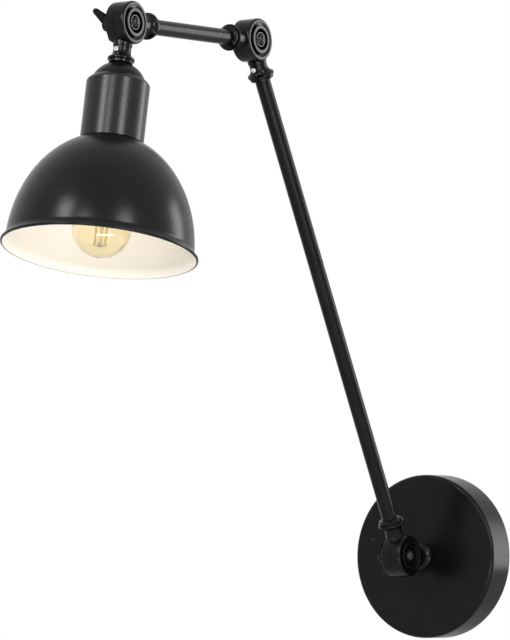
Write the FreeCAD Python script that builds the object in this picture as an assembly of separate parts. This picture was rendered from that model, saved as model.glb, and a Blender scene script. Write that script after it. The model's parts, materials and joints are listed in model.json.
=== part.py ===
"""Articulating wall lamp: round wall canopy, long arm, short arm and a half-dome lamp head.

Frame: the wall is the plane Y = 0, the lamp reaches out towards -Y, X runs along the wall and Z is up.
The origin is the centre of the wall screws, on the wall. All three knuckles turn about X.
"""
import FreeCAD
import Part
import math
import os

# ---------------------------------------------------------------- driving dimensions, millimetres
# Pose of the arms, as seen from the side: degrees from straight up, leaning away from the wall.
LONG_ARM_ANGLE = 25.3
SHORT_ARM_ANGLE = 89.2
HEAD_ANGLE = 166.5
LONG_ARM_LENGTH = 441.0          # pivot to pivot
SHORT_ARM_LENGTH = 166.5         # pivot to pivot
HEAD_LENGTH = 180.0              # pivot to the open edge of the shade

# Fits
THREAD_GAP = 0.05                # radial, between a thread and its hole
CREST_START = 0.3                # round thread form, as shares of the pitch
CREST_END = 0.6
ROOT_START = 0.9
RUNNING_GAP = 0.05               # radial, between a pivot bolt and what turns on it
FACE_GAP = 0.05                  # between clamped faces
TURNING_GAP = 0.4                # between a neck and the drum half that passes it

# Knuckle castings
KNUCKLE_DIAMETER = 33.0
KNUCKLE_WIDTH = 14.6
KNUCKLE_SEAM = 0.3
KNUCKLE_EDGE = 0.7
CAVITY_INNER_RADIUS = 6.5
CAVITY_OUTER_RADIUS = 11.5
CAVITY_DEPTH = 4.0
FACE_RING_WIDTH = 3.1
FACE_RING_RISE = 2.0             # past half the drum's width, as the other rises here
FACE_RING_ROUND = 1.6
FACE_DISH_RISE = 0.8             # at the dish's foot, beside the boss
FACE_BOSS_RADIUS = 10.9
FACE_BOSS_RISE = 2.8
FACE_EDGE = 0.4
BOLT_RECESS_RADIUS = 8.2
BOLT_RECESS_DEPTH = 4.2
WASHER_SEAT_RADIUS = 7.4
WASHER_SEAT_DEPTH = 0.5

# Neck and bell collar of each casting, along its axis from the pivot
COLLAR_REACH = 33.1
NECK_RADIUS = 7.4
NECK_END = 18.6
THROAT_RADIUS = 6.9
THROAT_LENGTH = 3.4
BELL_RADIUS = 10.4
BELL_RING_HEIGHT = 1.9
STEP_RADIUS = 9.2
STEP_HEIGHT = 3.4
STEP_GROOVE = 0.6
COLLAR_FOOT_RADIUS = 7.2
COLLAR_FOOT_HEIGHT = 1.2
THROAT_EDGE = 0.5
BELL_RING_STEP = 0.2             # how far the bell's own edge stays inside its ring
BELL_FLARE = 0.3                 # share of the bell's widening that is reached two thirds of the way along
WIREWAY_RADIUS = 3.2

# Pivot hardware
BOLT_RADIUS = 2.5
BOLT_HEAD_RADIUS = 5.6
BOLT_RIM_HEIGHT = 3.6
BOLT_RIM_WIDTH = 0.5
BOLT_TROUGH_HEIGHT = 2.0         # between the rim and the ball
BOLT_BALL_RADIUS = 4.6
BOLT_BALL_HEIGHT = 1.8           # of its centre over the seat
FRICTION_WASHER_THICKNESS = 1.0
FRICTION_WASHER_RADIUS = 6.2
SPRING_WASHER_RADIUS = 4.6
SPRING_WASHER_THICKNESS = 1.2
SPRING_WASHER_SPLIT = 0.9
WING_HUB_RADIUS = 5.5
WING_HUB_END_RADIUS = 4.9
WING_HUB_LENGTH = 10.7
WING_REACH = 16.8
WING_TIP_RISE = 3.5              # how far the wing tips stand past the hub's end
WING_TIP_RADIUS = 3.0
WING_ROOT_RADIUS = 4.3
WING_ROOT_LIFT = 0.3
WING_ROOT_THICKNESS = 4.4
WING_MIDDLE_THICKNESS = 2.1
WING_TIP_THICKNESS = 1.0
WING_EDGE = 0.5
BOLT_SHORT_OF_HUB = 1.4
WALL_WING_ANGLE = 33.0           # degrees from straight up, leaning away from the wall
ELBOW_WING_ANGLE = 89.2
HEAD_WING_ANGLE = 45.0

# Tubes, nipples and grub screws
TUBE_RADIUS = 6.0
TUBE_WALL = 0.95
NIPPLE_RADIUS = 5.0
NIPPLE_BORE_RADIUS = 3.5
NIPPLE_IN_TUBE = 10.5
GRUB_RADIUS = 2.0
GRUB_LENGTH = 3.1
GRUB_HEIGHT = 22.2
GRUB_SOCKET_RADIUS = 1.1
GRUB_SOCKET_DEPTH = 1.3
GRUB_EDGE = 0.3

# Wall canopy and what it hides
CANOPY_RADIUS = 65.0
CANOPY_DEPTH = 25.5
CANOPY_SHEET = 1.2
CANOPY_EDGE_RADIUS = 3.0
LOCK_WASHER_RADIUS = 9.0
LOCK_WASHER_THICKNESS = 1.5
LOCK_NUT_RADIUS = 8.1
LOCK_NUT_THICKNESS = 3.5
NIPPLE_PAST_NUT = 1.5
BRACKET_WIDTH = 22.0
BRACKET_SHEET = 2.0
BRACKET_HUB_RADIUS = 17.0
CABLE_ENTRY_RADIUS = 9.0
TAB_WIDTH = 14.0
TAB_LENGTH = 18.0
TAB_GAP = 0.4
TAB_NECK = 4.0
WALL_SCREW_SPACING = 84.0
WALL_SLOT_RADIUS = 2.4
WALL_SLOT_LENGTH = 14.0
SIDE_SCREW_RADIUS = 2.0
SIDE_SCREW_SINK = 0.3
SIDE_SCREW_INSIDE = 1.5
TERMINAL_WIDTH = 27.0
TERMINAL_DEPTH = 12.0
TERMINAL_HEIGHT = 13.0
TERMINAL_PITCH = 8.5
TERMINAL_PLACE = 26.5
WIRE_HOLE_RADIUS = 1.7
CLAMP_SCREW_RADIUS = 1.6
CLAMP_SCREW_LENGTH = 5.0
CLAMP_SCREW_SINK = 1.5
CLAMP_SCREW_SPACING = 6.4
TERMINAL_SCREW_RADIUS = 1.2
TERMINAL_SCREW_HEAD_RADIUS = 2.0
TERMINAL_SCREW_HEAD_HEIGHT = 1.4
EARTH_SCREW_RADIUS = 2.0
EARTH_HEAD_RADIUS = 3.5
EARTH_HEAD_HEIGHT = 2.4
EARTH_WASHER_RADIUS = 4.6
EARTH_WASHER_THICKNESS = 1.0
SCREW_SLOT_WIDTH = 0.8
SCREW_SLOT_DEPTH = 0.9

# Head: domed cap, cup and shade, along the head's axis from its pivot
CAP_HEIGHT = 11.0
CAP_TOP_RADIUS = 9.2
CAP_RADIUS = 20.0
CAP_BULGE = 1.0
CAP_SHEET = 1.1
CUP_RADIUS = 24.2
CUP_SHEET = 1.0
CUP_SHOULDER = 4.1
CUP_SHOULDER_BULGE = 0.3
SHADE_RADIUS = 71.3
SHADE_HEIGHT = 89.0
SHADE_SHEET = 1.0
SHADE_LIP_RADIUS = 74.9
SHADE_LIP_LENGTH = 8.0
SHADE_BEAD_RADIUS = 1.2
SHADE_TOP_RADIUS = 22.6
LIP_BEND_ACROSS = 0.22           # share of the lip's spread that is reached where its bend is halfway
LIP_BEND_OUTSIDE = 0.55          # share of the lip's height at that point, outside
LIP_BEND_INSIDE = 0.62           # and inside

# Lampholder and bulb
HOLDER_HEIGHT = 23.2              # from the shade's top to the top of the holder's cap
HOLDER_BOSS_RADIUS = 9.5
HOLDER_ENTRY = 8.0
HOLDER_CAP_RADIUS = 20.4
HOLDER_SHOULDER = 9.0
HOLDER_BULGE = 1.6
HOLDER_WALL = 2.0
HOLDER_SKIRT_RADIUS = 19.9
HOLDER_SKIRT_WALL = 2.6
HOLDER_SKIRT_LENGTH = 36.0
HOLDER_FLANGE_RADIUS = 22.2
HOLDER_FLANGE_THICKNESS = 2.0
HOLDER_OVERLAP = 5.0
HOLDER_LEDGE = 1.5
HOLDER_SKIRT_EDGE = 1.0
SHADE_RING_RADIUS = 25.5
SHADE_RING_THICKNESS = 6.0
SHADE_RING_NOTCHES = 16
SHADE_RING_NOTCH_RADIUS = 1.5
SHADE_RING_NOTCH_OUT = 0.4       # how far outside the ring a notch is centred
SHADE_RING_EDGE = 1.0
CONTACT_BLOCK_THICKNESS = 8.0
SHELL_SHEET = 0.5
SHELL_LENGTH = 22.0
SHELL_GAP = 0.4
CENTRE_CONTACT_RADIUS = 3.4
CENTRE_CONTACT_HEIGHT = 4.0
CENTRE_CONTACT_FOOT = 0.5
CENTRE_CONTACT_EDGE = 0.6
BULB_RADIUS = 22.5
BULB_LENGTH = 78.0
BULB_PAST_SHADE = 4.0
BULB_GLASS = 0.7
BULB_NECK_IN_CAP = 5.0
BULB_CAP_RADIUS = 13.1
BULB_CAP_LENGTH = 24.0
BULB_CAP_SHEET = 0.4
BULB_THREAD_DEPTH = 0.9
BULB_THREAD_PITCH = 3.6
BULB_BALL_START = 0.64           # share of the ball's radius, behind its centre, where the neck's curve ends
BULB_NECK_CURVE = 0.24           # share of the neck's widening that is reached halfway along that curve
BULB_CONTACT_RADIUS = 4.4
BULB_CONTACT_HEIGHT = 1.6
BULB_CONTACT_SLOPE = 1.2
BULB_INSULATOR_RADIUS = 10.8
BULB_INSULATOR_HEIGHT = 3.6
BULB_INSULATOR_RIM = 0.8
BULB_INSULATOR_IN_CAP = 1.5
STEM_RADIUS = 1.3
STEM_FOOT_RADIUS = 6.0
STEM_TAPER_LENGTH = 8.9
STEM_DISC_RADIUS = 5.2
STEM_DISC_THICKNESS = 0.8
FILAMENT_COUNT = 4
FILAMENT_RADIUS = 0.8
FILAMENT_CIRCLE_RADIUS = 4.0
FILAMENT_LENGTH = 25.0

# ---------------------------------------------------------------- places worked out from them
ORIGIN = FreeCAD.Vector(0, 0, 0)
X_AXIS = FreeCAD.Vector(1, 0, 0)
Y_AXIS = FreeCAD.Vector(0, 1, 0)
Z_AXIS = FreeCAD.Vector(0, 0, 1)
WALL_END_ANGLE = -90.0

KNUCKLE_RADIUS = KNUCKLE_DIAMETER / 2
HALF_WIDTH = KNUCKLE_WIDTH / 2
HALF_SEAM = KNUCKLE_SEAM / 2
BOSS_FACE = FRICTION_WASHER_THICKNESS / 2 + FACE_GAP
BOLT_BORE_RADIUS = BOLT_RADIUS + RUNNING_GAP
BOLT_SEAT = HALF_WIDTH + FACE_BOSS_RISE - BOLT_RECESS_DEPTH
WASHER_SEAT = HALF_WIDTH - WASHER_SEAT_DEPTH
NUT_SEAT = WASHER_SEAT + SPRING_WASHER_THICKNESS + 2 * FACE_GAP
BOLT_END = NUT_SEAT + WING_HUB_LENGTH - BOLT_SHORT_OF_HUB
NIPPLE_HOLE_RADIUS = NIPPLE_RADIUS + THREAD_GAP
THROAT_END = NECK_END + THROAT_LENGTH
STEP_START = COLLAR_REACH - STEP_HEIGHT
BELL_START = STEP_START - BELL_RING_HEIGHT
WALL = COLLAR_REACH + CANOPY_DEPTH
SHADE_CENTRE = HEAD_LENGTH - 2 * SHADE_BEAD_RADIUS
CUP_TOP = COLLAR_REACH + CAP_HEIGHT
CUP_INNER_RADIUS = CUP_RADIUS - CUP_SHEET
SHADE_HOLE_RADIUS = HOLDER_SKIRT_RADIUS + 2 * THREAD_GAP
BULB_END = HEAD_LENGTH + BULB_PAST_SHADE
BULB_CENTRE = BULB_END - BULB_RADIUS
BULB_START = BULB_END - BULB_LENGTH
INSULATOR_START = BULB_START + BULB_CONTACT_HEIGHT
BULB_CAP_START = INSULATOR_START + BULB_INSULATOR_HEIGHT
BULB_CAP_END = BULB_CAP_START + BULB_CAP_LENGTH
BULB_NECK_RADIUS = BULB_CAP_RADIUS - BULB_THREAD_DEPTH - BULB_CAP_SHEET - THREAD_GAP
HOLDER_BORE_RADIUS = HOLDER_SKIRT_RADIUS - HOLDER_SKIRT_WALL


def outward(lean, distance):
    """Vector of a length in the plane across the wall, at a lean from straight up away from the wall."""
    angle = math.radians(lean)
    return FreeCAD.Vector(0, -distance * math.sin(angle), distance * math.cos(angle))


WALL_PIVOT = FreeCAD.Vector(0, -WALL, 0)
ELBOW_PIVOT = WALL_PIVOT + outward(LONG_ARM_ANGLE, LONG_ARM_LENGTH)
HEAD_PIVOT = ELBOW_PIVOT + outward(SHORT_ARM_ANGLE, SHORT_ARM_LENGTH)


# ---------------------------------------------------------------- shape helpers
def placed(shape, pivot, lean):
    """A shape modelled up its own Z axis, leaned about X and moved to a pivot."""
    moved = shape.copy()
    moved.rotate(ORIGIN, X_AXIS, lean)
    moved.translate(pivot)
    return moved


def across(shape, side):
    """A shape modelled up Z, laid along X: side 1 points to +X, side -1 to -X."""
    laid = shape.copy()
    laid.rotate(ORIGIN, Y_AXIS, 90.0 * side)
    return laid


def profile_edges(path):
    """Edges of a closed (radius, height) outline. An item (mid, end) is an arc through mid to end."""
    def point(pair):
        return FreeCAD.Vector(pair[0], 0, pair[1])

    edges = []
    here = path[0]
    for item in path[1:] + path[:1]:
        if isinstance(item[0], tuple):
            middle, end = item
            edges.append(Part.Arc(point(here), point(middle), point(end)).toShape())
        else:
            end = item
            edges.append(Part.LineSegment(point(here), point(end)).toShape())
        here = end
    return edges


def revolved(edges):
    """Solid turned about Z from the closed loop of edges."""
    wire = Part.Wire(Part.__sortEdges__(edges))
    return Part.Face(wire).revolve(ORIGIN, Z_AXIS, 360)


def turned(path):
    return revolved(profile_edges(path))


def rod(radius, start, end):
    return Part.makeCylinder(radius, end - start, FreeCAD.Vector(0, 0, start))


def pipe(outer_radius, inner_radius, start, end):
    return rod(outer_radius, start, end).cut(rod(inner_radius, start, end))


def sideways_rod(radius, height, start, end):
    """Cylinder along Y at a height."""
    return Part.makeCylinder(radius, end - start, FreeCAD.Vector(0, start, height), Y_AXIS)


def block(size_x, size_y, start, end, centre_x=0.0, centre_y=0.0):
    corner = FreeCAD.Vector(centre_x - size_x / 2, centre_y - size_y / 2, start)
    return Part.makeBox(size_x, size_y, end - start, corner)


def hexagon(radius, start, end):
    angles = [math.radians(60 * k) for k in range(6)]
    corners = [FreeCAD.Vector(radius * math.cos(angle), radius * math.sin(angle), start) for angle in angles]
    return Part.Face(Part.makePolygon(corners + corners[:1])).extrude(FreeCAD.Vector(0, 0, end - start))


def arc_middle(start, end, centre, radius):
    """Point halfway round the arc from start to end about a centre."""
    between = ((start[0] + end[0]) / 2 - centre[0], (start[1] + end[1]) / 2 - centre[1])
    length = math.hypot(between[0], between[1])
    return (centre[0] + between[0] * radius / length, centre[1] + between[1] * radius / length)


def corner_arc(start, end, centre):
    """Outline item for a quarter round about a centre."""
    radius = math.dist(start, centre)
    return (arc_middle(start, end, centre, radius), end)


def thread_path(radius, depth, start, end, pitch):
    """Outline points of a round thread form between two heights, rising."""
    turns = int((end - start) / pitch)
    path = [(radius - depth, start)]
    for k in range(turns):
        height = start + k * pitch
        path += [(radius, height + CREST_START * pitch), (radius, height + CREST_END * pitch),
                 (radius - depth, height + ROOT_START * pitch)]
    path.append((radius - depth, end))
    return path


# ---------------------------------------------------------------- knuckle castings
def front_face_path():
    """Outline of the drum half with the bolt head, as radius and distance from the middle plane."""
    ring = KNUCKLE_RADIUS - FACE_RING_WIDTH
    crest = HALF_WIDTH + FACE_RING_RISE
    dish = HALF_WIDTH + FACE_DISH_RISE
    boss = HALF_WIDTH + FACE_BOSS_RISE
    corner = FACE_RING_ROUND
    edge = FACE_EDGE
    return [(KNUCKLE_RADIUS, crest - corner),
            corner_arc((KNUCKLE_RADIUS, crest - corner), (KNUCKLE_RADIUS - corner, crest),
                       (KNUCKLE_RADIUS - corner, crest - corner)),
            (ring + edge, crest),
            corner_arc((ring + edge, crest), (ring, crest - edge), (ring + edge, crest - edge)),
            (FACE_BOSS_RADIUS, dish),
            (FACE_BOSS_RADIUS, boss - edge),
            corner_arc((FACE_BOSS_RADIUS, boss - edge), (FACE_BOSS_RADIUS - edge, boss),
                       (FACE_BOSS_RADIUS - edge, boss - edge)),
            (BOLT_RECESS_RADIUS + edge, boss),
            corner_arc((BOLT_RECESS_RADIUS + edge, boss), (BOLT_RECESS_RADIUS, boss - edge),
                       (BOLT_RECESS_RADIUS + edge, boss - edge)),
            (BOLT_RECESS_RADIUS, BOLT_SEAT),
            (BOLT_BORE_RADIUS, BOLT_SEAT)]


def back_face_path():
    """Outline of the drum half under the wing nut."""
    edge = KNUCKLE_EDGE
    return [(KNUCKLE_RADIUS, HALF_WIDTH - edge),
            corner_arc((KNUCKLE_RADIUS, HALF_WIDTH - edge), (KNUCKLE_RADIUS - edge, HALF_WIDTH),
                       (KNUCKLE_RADIUS - edge, HALF_WIDTH - edge)),
            (WASHER_SEAT_RADIUS, HALF_WIDTH),
            (WASHER_SEAT_RADIUS, WASHER_SEAT),
            (BOLT_BORE_RADIUS, WASHER_SEAT)]


def half_drum(side):
    face = front_face_path() if side > 0 else back_face_path()
    cavity_top = HALF_SEAM + CAVITY_DEPTH
    inside = [(BOLT_BORE_RADIUS, BOSS_FACE), (CAVITY_INNER_RADIUS, BOSS_FACE),
              (CAVITY_INNER_RADIUS, cavity_top), (CAVITY_OUTER_RADIUS, cavity_top),
              (CAVITY_OUTER_RADIUS, HALF_SEAM), (KNUCKLE_RADIUS, HALF_SEAM)]
    return across(turned(face + inside), side)


def collar():
    """Neck, throat, bell, ring and step of a casting, solid."""
    start = (CAVITY_OUTER_RADIUS + KNUCKLE_RADIUS) / 2
    bell_middle = (THROAT_RADIUS + BELL_FLARE * (BELL_RADIUS - THROAT_RADIUS),
                   (THROAT_END + 2 * BELL_START) / 3)
    ring_round = BELL_RING_HEIGHT / 2
    ring_radius = BELL_RADIUS - BELL_RING_STEP
    return turned([(0, start),
                   (NECK_RADIUS, start),
                   (NECK_RADIUS, NECK_END),
                   (THROAT_RADIUS, NECK_END + THROAT_EDGE),
                   (THROAT_RADIUS, THROAT_END),
                   (bell_middle, (ring_radius, BELL_START)),
                   ((BELL_RADIUS, BELL_START + ring_round), (ring_radius, STEP_START)),
                   (STEP_RADIUS - STEP_GROOVE, STEP_START),
                   (STEP_RADIUS - STEP_GROOVE, STEP_START + STEP_GROOVE),
                   (STEP_RADIUS, STEP_START + STEP_GROOVE),
                   (STEP_RADIUS, COLLAR_REACH - COLLAR_FOOT_HEIGHT),
                   (COLLAR_FOOT_RADIUS, COLLAR_REACH),
                   (0, COLLAR_REACH)])


def knuckle_half(side, grub_side):
    """One cast half. Its neck is centred on the middle plane, and cut away where the other half turns."""
    other_half = across(rod(KNUCKLE_RADIUS + TURNING_GAP, -KNUCKLE_WIDTH, HALF_SEAM), side)
    neck = collar().cut(other_half)
    body = half_drum(side).fuse(neck)
    nipple_hole = rod(NIPPLE_HOLE_RADIUS, NECK_END, COLLAR_REACH)
    wireway = rod(WIREWAY_RADIUS, (CAVITY_INNER_RADIUS + CAVITY_OUTER_RADIUS) / 2, NECK_END)
    grub_hole = sideways_rod(GRUB_RADIUS + THREAD_GAP, GRUB_HEIGHT, 0, BELL_RADIUS)
    if grub_side < 0:
        grub_hole.rotate(ORIGIN, Z_AXIS, 180)
    return body.cut(nipple_hole.fuse(wireway).fuse(grub_hole)).removeSplitter()


def grub_screw(grub_side):
    start = NIPPLE_RADIUS + THREAD_GAP
    end = start + GRUB_LENGTH
    socket = hexagon(GRUB_SOCKET_RADIUS, end - GRUB_SOCKET_DEPTH, end)
    body = turned([(0, start), (GRUB_RADIUS, start), (GRUB_RADIUS, end - GRUB_EDGE),
                   (GRUB_RADIUS - GRUB_EDGE, end), (0, end)])
    screw = body.cut(socket)
    screw.rotate(ORIGIN, X_AXIS, -90 * grub_side)
    screw.translate(FreeCAD.Vector(0, 0, GRUB_HEIGHT))
    return screw


def nipple(end):
    """Threaded tube from the neck's ledge to an end further up the same axis."""
    return pipe(NIPPLE_RADIUS, NIPPLE_BORE_RADIUS, NECK_END + FACE_GAP, end)


# ---------------------------------------------------------------- pivot hardware, along X
def pivot_bolt():
    """Bolt whose head is a ball standing in a rimmed dish."""
    rim = BOLT_SEAT + BOLT_RIM_HEIGHT
    centre = (0, BOLT_SEAT + BOLT_BALL_HEIGHT)
    top = (0, centre[1] + BOLT_BALL_RADIUS)
    trough_drop = BOLT_BALL_HEIGHT - BOLT_TROUGH_HEIGHT
    trough = (math.sqrt(BOLT_BALL_RADIUS ** 2 - trough_drop ** 2), BOLT_SEAT + BOLT_TROUGH_HEIGHT)
    ball = (arc_middle(trough, top, centre, BOLT_BALL_RADIUS), top)
    body = turned([(0, -BOLT_END), (BOLT_RADIUS, -BOLT_END), (BOLT_RADIUS, BOLT_SEAT),
                   (BOLT_HEAD_RADIUS, BOLT_SEAT), (BOLT_HEAD_RADIUS, rim),
                   (BOLT_HEAD_RADIUS - BOLT_RIM_WIDTH, rim), trough, ball])
    return across(body, 1)


def friction_washer():
    half = FRICTION_WASHER_THICKNESS / 2
    return across(pipe(FRICTION_WASHER_RADIUS, BOLT_BORE_RADIUS, -half, half), 1)


def spring_washer():
    start = WASHER_SEAT + FACE_GAP
    end = start + SPRING_WASHER_THICKNESS
    ring = pipe(SPRING_WASHER_RADIUS, BOLT_BORE_RADIUS, start, end)
    split = block(2 * SPRING_WASHER_RADIUS, SPRING_WASHER_SPLIT, start, end, centre_x=SPRING_WASHER_RADIUS)
    return across(ring.cut(split), -1)


def wing():
    """One ear: two rounds joined by their outer tangents, as height along the nut and reach from its axis."""
    tip_height = WING_HUB_LENGTH + WING_TIP_RISE - WING_TIP_RADIUS
    tip_reach = WING_REACH - WING_TIP_RADIUS
    root_height = WING_ROOT_RADIUS + WING_ROOT_LIFT
    span = math.hypot(tip_reach, tip_height - root_height)
    along = math.atan2(tip_height - root_height, tip_reach)
    tilt = math.acos((WING_ROOT_RADIUS - WING_TIP_RADIUS) / span)

    def point(reach, height, radius, angle):
        return FreeCAD.Vector(reach + radius * math.cos(angle), 0, height + radius * math.sin(angle))

    root = [point(0, root_height, WING_ROOT_RADIUS, along + turn) for turn in (tilt, math.pi, -tilt)]
    tip = [point(tip_reach, tip_height, WING_TIP_RADIUS, along + turn) for turn in (-tilt, 0, tilt)]
    edges = [Part.Arc(*root).toShape(), Part.LineSegment(root[2], tip[0]).toShape(),
             Part.Arc(*tip).toShape(), Part.LineSegment(tip[2], root[0]).toShape()]
    plate = Part.Face(Part.Wire(edges)).extrude(FreeCAD.Vector(0, WING_ROOT_THICKNESS, 0))
    plate.translate(FreeCAD.Vector(0, -WING_ROOT_THICKNESS / 2, 0))
    return plate.common(wing_taper())


def wing_taper():
    """Prism that thins an ear in a hollow curve from the hub to its tip."""
    middle_reach = (WING_HUB_RADIUS + WING_REACH) / 2
    edges = []
    for side in (-1, 1):
        inner = FreeCAD.Vector(-WING_ROOT_RADIUS, side * WING_ROOT_THICKNESS / 2, 0)
        root = FreeCAD.Vector(WING_HUB_END_RADIUS, side * WING_ROOT_THICKNESS / 2, 0)
        middle = FreeCAD.Vector(middle_reach, side * WING_MIDDLE_THICKNESS / 2, 0)
        tip = FreeCAD.Vector(WING_REACH, side * WING_TIP_THICKNESS / 2, 0)
        edges += [Part.LineSegment(inner, root).toShape(), Part.Arc(root, middle, tip).toShape()]
        if side < 0:
            first_inner, first_tip = inner, tip
    edges += [Part.LineSegment(first_inner, inner).toShape(), Part.LineSegment(first_tip, tip).toShape()]
    outline = Part.Wire(Part.__sortEdges__(edges))
    return Part.Face(outline).extrude(FreeCAD.Vector(0, 0, WING_HUB_LENGTH + WING_TIP_RISE))


def wing_nut(angle):
    """Nut on the -X end of a pivot bolt, its first ear at an angle from straight up."""
    hub = turned([(0, 0), (WING_HUB_RADIUS, 0), (WING_HUB_END_RADIUS, WING_HUB_LENGTH - WING_EDGE),
                  (WING_HUB_END_RADIUS - WING_EDGE, WING_HUB_LENGTH), (0, WING_HUB_LENGTH)])
    ear = wing()
    opposite = ear.copy()
    opposite.rotate(ORIGIN, Z_AXIS, 180)
    nut = hub.fuse(ear).fuse(opposite).cut(rod(BOLT_BORE_RADIUS, 0, WING_HUB_LENGTH))
    nut.translate(FreeCAD.Vector(0, 0, NUT_SEAT))
    nut = across(nut.removeSplitter(), -1)
    nut.rotate(ORIGIN, X_AXIS, angle)
    return nut


# ---------------------------------------------------------------- wall end, up its axis from the wall pivot
def wall_canopy():
    inner = CANOPY_RADIUS - CANOPY_SHEET
    front = COLLAR_REACH
    back = front + CANOPY_SHEET
    bend = CANOPY_RADIUS - CANOPY_EDGE_RADIUS
    bend_height = front + CANOPY_EDGE_RADIUS
    centre = (bend, bend_height)
    shell = turned([(NIPPLE_HOLE_RADIUS, front),
                    (bend, front),
                    corner_arc((bend, front), (CANOPY_RADIUS, bend_height), centre),
                    (CANOPY_RADIUS, WALL),
                    (inner, WALL),
                    (inner, bend_height),
                    corner_arc((inner, bend_height), (bend, back), centre),
                    (NIPPLE_HOLE_RADIUS, back)])
    screw_holes = sideways_rod(SIDE_SCREW_RADIUS + THREAD_GAP, side_screw_height(),
                               -CANOPY_RADIUS, CANOPY_RADIUS)
    return shell.cut(screw_holes)


def side_screw_height():
    return WALL - CANOPY_DEPTH / 2


def tab_face():
    """How far out the bracket's tabs reach, with their corners clear of the canopy."""
    return math.sqrt((CANOPY_RADIUS - CANOPY_SHEET) ** 2 - (TAB_WIDTH / 2) ** 2) - TAB_GAP


def strap_face():
    return WALL - BRACKET_SHEET


def wall_slot(side):
    middle = side * WALL_SCREW_SPACING / 2
    straight = WALL_SLOT_LENGTH - 2 * WALL_SLOT_RADIUS
    slot = block(2 * WALL_SLOT_RADIUS, straight, strap_face(), WALL, centre_y=middle)
    for end in (-1, 1):
        hole = rod(WALL_SLOT_RADIUS, strap_face(), WALL)
        hole.translate(FreeCAD.Vector(0, middle + end * straight / 2, 0))
        slot = slot.fuse(hole)
    return slot


def mounting_bracket():
    reach = tab_face()
    strap = block(BRACKET_WIDTH, 2 * (reach - TAB_NECK), strap_face(), WALL)
    strap = strap.fuse(rod(BRACKET_HUB_RADIUS, strap_face(), WALL))
    for side in (-1, 1):
        neck = block(TAB_WIDTH, TAB_NECK, strap_face(), WALL, centre_y=side * (reach - TAB_NECK / 2))
        tab = block(TAB_WIDTH, BRACKET_SHEET, WALL - TAB_LENGTH, WALL,
                    centre_y=side * (reach - BRACKET_SHEET / 2))
        strap = strap.fuse(neck).fuse(tab)
    cuts = rod(CABLE_ENTRY_RADIUS, strap_face(), WALL)
    cuts = cuts.fuse(wall_slot(-1)).fuse(wall_slot(1))
    cuts = cuts.fuse(sideways_rod(SIDE_SCREW_RADIUS + THREAD_GAP, side_screw_height(), -reach, reach))
    for place, radius in ((TERMINAL_PLACE, TERMINAL_SCREW_RADIUS), (-TERMINAL_PLACE, EARTH_SCREW_RADIUS)):
        hole = rod(radius + THREAD_GAP, strap_face(), WALL)
        hole.translate(FreeCAD.Vector(terminal_screw_x() if place > 0 else 0, place, 0))
        cuts = cuts.fuse(hole)
    return strap.cut(cuts).removeSplitter()


def side_screws():
    start = tab_face() - BRACKET_SHEET - SIDE_SCREW_INSIDE
    end = CANOPY_RADIUS - SIDE_SCREW_SINK
    socket = hexagon(SIDE_SCREW_RADIUS / 2, end - SIDE_SCREW_RADIUS, end)
    screw = rod(SIDE_SCREW_RADIUS, start, end).cut(socket)
    screws = []
    for side in (-1, 1):
        one = screw.copy()
        one.rotate(ORIGIN, X_AXIS, -90 * side)
        one.translate(FreeCAD.Vector(0, 0, side_screw_height()))
        screws.append(one)
    return Part.makeCompound(screws)


def lock_washer():
    start = COLLAR_REACH + CANOPY_SHEET
    return pipe(LOCK_WASHER_RADIUS, NIPPLE_HOLE_RADIUS, start, start + LOCK_WASHER_THICKNESS)


def lock_nut():
    start = COLLAR_REACH + CANOPY_SHEET + LOCK_WASHER_THICKNESS
    end = start + LOCK_NUT_THICKNESS
    return hexagon(LOCK_NUT_RADIUS, start, end).cut(rod(NIPPLE_HOLE_RADIUS, start, end))


def canopy_nipple_end():
    return COLLAR_REACH + CANOPY_SHEET + LOCK_WASHER_THICKNESS + LOCK_NUT_THICKNESS + NIPPLE_PAST_NUT


def terminal_screw_x():
    return TERMINAL_PITCH / 2


def terminal_top():
    return strap_face() - TERMINAL_HEIGHT


def clamp_screw_places():
    return [(column * TERMINAL_PITCH, TERMINAL_PLACE + row * CLAMP_SCREW_SPACING / 2)
            for column in (-1, 0, 1) for row in (-1, 1)]


def terminal_block():
    top = terminal_top()
    body = block(TERMINAL_WIDTH, TERMINAL_DEPTH, top, strap_face(), centre_y=TERMINAL_PLACE)
    wire_height = strap_face() - TERMINAL_HEIGHT / 3
    cuts = None
    for column in (-1, 0, 1):
        hole = sideways_rod(WIRE_HOLE_RADIUS, wire_height, TERMINAL_PLACE - TERMINAL_DEPTH / 2,
                            TERMINAL_PLACE + TERMINAL_DEPTH / 2)
        hole.translate(FreeCAD.Vector(column * TERMINAL_PITCH, 0, 0))
        cuts = hole if cuts is None else cuts.fuse(hole)
    for x, y in clamp_screw_places():
        well = rod(CLAMP_SCREW_RADIUS + THREAD_GAP, top, wire_height)
        well.translate(FreeCAD.Vector(x, y, 0))
        cuts = cuts.fuse(well)
    screw_hole = rod(TERMINAL_SCREW_RADIUS + THREAD_GAP, top, strap_face())
    screw_hole.translate(FreeCAD.Vector(terminal_screw_x(), TERMINAL_PLACE, 0))
    head_seat = rod(TERMINAL_SCREW_HEAD_RADIUS + THREAD_GAP, top, top + TERMINAL_SCREW_HEAD_HEIGHT)
    head_seat.translate(FreeCAD.Vector(terminal_screw_x(), TERMINAL_PLACE, 0))
    return body.cut(cuts.fuse(screw_hole).fuse(head_seat))


def slotted(screw, radius, top):
    return screw.cut(block(2 * radius, SCREW_SLOT_WIDTH, top, top + SCREW_SLOT_DEPTH))


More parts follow.
